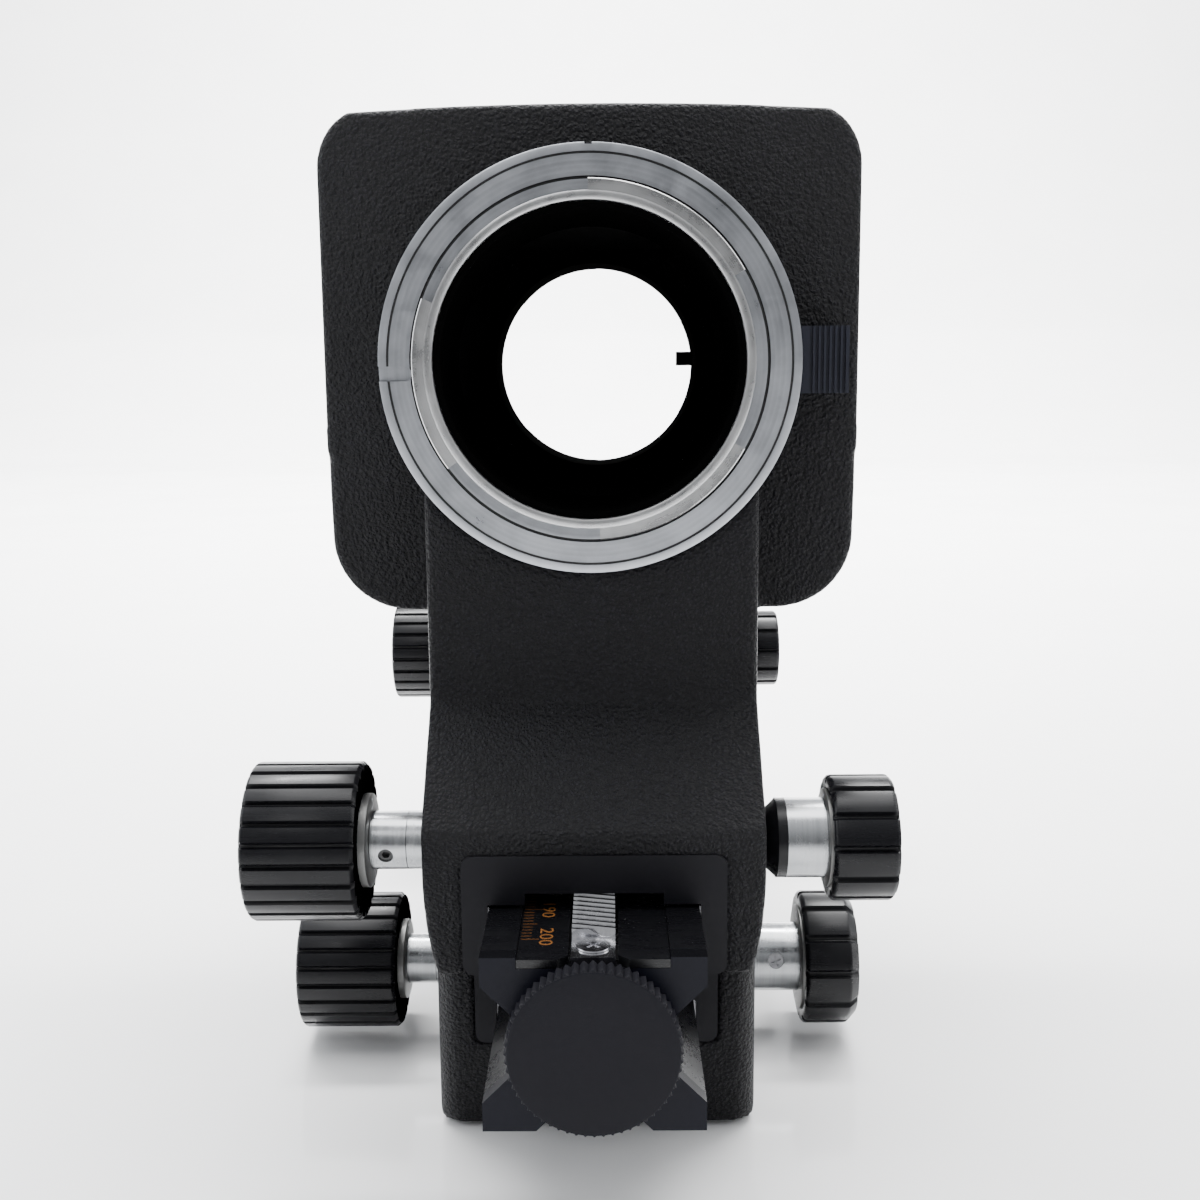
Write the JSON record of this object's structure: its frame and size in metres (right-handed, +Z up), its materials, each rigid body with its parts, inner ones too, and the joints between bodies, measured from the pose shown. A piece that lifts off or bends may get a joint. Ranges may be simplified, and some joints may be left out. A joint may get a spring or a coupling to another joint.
{
  "type": "camera bellows focusing attachment",
  "caption": "Bellows focusing attachment for a single-lens reflex camera: two cast standards joined by pleated bellows on a geared rail with scale, held in a geared tripod block.",
  "frame": {"origin": "centre of the tripod socket's mouth in the underside of the tripod block", "axes": "X right, Y along the optical axis towards the lens, Z up"},
  "size_m": [0.0915, 0.2178, 0.1463],
  "materials": {
    "crinkle": "fine black wrinkle enamel",
    "satin_plate": "satin dark grey paint",
    "gloss_knob": "glossy black moulded",
    "rail_black": "glossy black anodised",
    "cap_grey": "satin blue-grey paint",
    "end_disc": "fine matt charcoal",
    "bright": "turned bright plate",
    "satin_ring": "satin chromed and worn",
    "steel": "machined steel",
    "baffle": "matt black",
    "bellows_cloth": "black coated pleated cloth",
    "lever_grey": "satin navy grey"
  },
  "bodies": {
    "tripod_block": {"block_casting": "crinkle", "block_end_plates": "satin_plate", "block_gibs": "steel", "tripod_bush": "bright", "block_drive_bush": "bright", "block_clamp_cone": "gloss_knob", "block_clamp_shoe": "steel"},
    "rail": {"rail_extrusion": "rail_black", "rail_upper_rack": "bright", "rail_lower_rack": "steel", "rail_scale_plates": "rail_black", "rail_rack_screws": "bright", "rail_rear_cap": "cap_grey", "rail_front_cap": "cap_grey", "bellows": "bellows_cloth"},
    "block_drive": {"block_drive_pinion": "steel", "block_drive_collar": "bright", "block_drive_knob": "gloss_knob"},
    "block_clamp": {"block_clamp_screw": "steel", "block_clamp_sleeve": "bright", "block_clamp_knob": "gloss_knob", "block_sleeve_screw": "steel"},
    "rear_knob": {"rear_end_knob": "end_disc"},
    "front_knob": {"front_end_knob": "end_disc"},
    "rear_standard": {"rear_standard_casting": "crinkle", "rear_standard_plates": "satin_plate", "rear_standard_gibs": "steel", "rear_drive_bush": "bright", "rear_clamp_cone": "gloss_knob", "rear_clamp_shoe": "steel", "bellows_rear_frame": "satin_plate"},
    "rear_drive": {"rear_drive_pinion": "steel", "rear_drive_collar": "bright", "rear_drive_screw": "steel", "rear_drive_knob": "gloss_knob"},
    "rear_clamp": {"rear_clamp_screw": "steel", "rear_clamp_sleeve": "bright", "rear_clamp_knob": "gloss_knob"},
    "camera_mount": {"camera_flange": "satin_ring", "camera_bayonet_tube": "satin_ring", "camera_light_baffle": "baffle", "mount_retaining_ring": "steel"},
    "mount_release": {"mount_release_lever": "lever_grey"},
    "front_standard": {"front_standard_casting": "crinkle", "front_standard_plates": "satin_plate", "front_standard_gibs": "steel", "front_drive_bush": "bright", "front_clamp_cone": "gloss_knob", "front_clamp_shoe": "steel", "bellows_front_frame": "satin_plate", "lens_mount_ring": "bright", "lens_mount_screws": "steel", "lens_light_baffle": "baffle"},
    "front_drive": {"front_drive_pinion": "steel", "front_drive_collar": "bright", "front_drive_knob": "gloss_knob"},
    "front_clamp": {"front_clamp_screw": "steel", "front_clamp_sleeve": "bright", "front_clamp_knob": "gloss_knob"},
    "lens_lock": {"lens_lock_button": "bright"}
  },
  "joints": [
    {"name": "rail_slide", "type": "slide", "parent": "tripod_block", "child": "rail", "axis": [0, 1, 0], "range_m": [-0.1, 0.022]},
    {"name": "rear_standard_slide", "type": "slide", "parent": "rail", "child": "rear_standard", "axis": [0, 1, 0], "range_m": [-0.012, 0.025], "deforming": ["bellows"]},
    {"name": "front_standard_slide", "type": "slide", "parent": "rail", "child": "front_standard", "axis": [0, 1, 0], "range_m": [-0.038, 0.03], "deforming": ["bellows"]},
    {"name": "rear_drive_turn", "type": "hinge", "parent": "rear_standard", "child": "rear_drive", "pos_m": [-0.03, -0.0358, 0.045], "axis": [1, 0, 0], "range_deg": [-222, 107]},
    {"name": "front_drive_turn", "type": "hinge", "parent": "front_standard", "child": "front_drive", "pos_m": [-0.03, 0.0992, 0.045], "axis": [1, 0, 0], "range_deg": [-266, 336]},
    {"name": "block_drive_turn", "type": "hinge", "parent": "tripod_block", "child": "block_drive", "pos_m": [-0.03, 0, 0.0118], "axis": [1, 0, 0], "range_deg": [-389, 1764]},
    {"name": "rear_clamp_turn", "type": "hinge", "parent": "rear_standard", "child": "rear_clamp", "pos_m": [0.035, -0.0358, 0.045], "axis": [1, 0, 0], "range_deg": [-90, 0]},
    {"name": "front_clamp_turn", "type": "hinge", "parent": "front_standard", "child": "front_clamp", "pos_m": [0.035, 0.0992, 0.045], "axis": [1, 0, 0], "range_deg": [-90, 0]},
    {"name": "block_clamp_turn", "type": "hinge", "parent": "tripod_block", "child": "block_clamp", "pos_m": [0.035, 0, 0.0118], "axis": [1, 0, 0], "range_deg": [-90, 0]},
    {"name": "camera_mount_turn", "type": "hinge", "parent": "rear_standard", "child": "camera_mount", "pos_m": [0, -0.03, 0.1107], "axis": [0, 1, 0], "range_deg": [0, 90]},
    {"name": "mount_release_slide", "type": "slide", "parent": "rear_standard", "child": "mount_release", "axis": [1, 0, 0], "range_m": [0, 0.0012], "stiffness_N_per_m": 800, "springref_m": -0.001},
    {"name": "lens_lock_slide", "type": "slide", "parent": "front_standard", "child": "lens_lock", "axis": [0, -1, 0], "range_m": [0, 0.0012], "stiffness_N_per_m": 800, "springref_m": -0.001},
    {"name": "rear_end_knob_turn", "type": "hinge", "parent": "rail", "child": "rear_knob", "pos_m": [0, -0.062, 0.027], "axis": [0, 1, 0], "range_deg": [-360, 0]},
    {"name": "front_end_knob_turn", "type": "hinge", "parent": "rail", "child": "front_knob", "pos_m": [0, 0.152, 0.027], "axis": [0, 1, 0], "range_deg": [0, 360]}
  ],
  "couplings": [
    {"joint": "rear_drive_turn", "follows": "rear_standard_slide", "rad_per_m": -153.85},
    {"joint": "front_drive_turn", "follows": "front_standard_slide", "rad_per_m": -153.85},
    {"joint": "block_drive_turn", "follows": "rail_slide", "rad_per_m": -307.69}
  ]
}
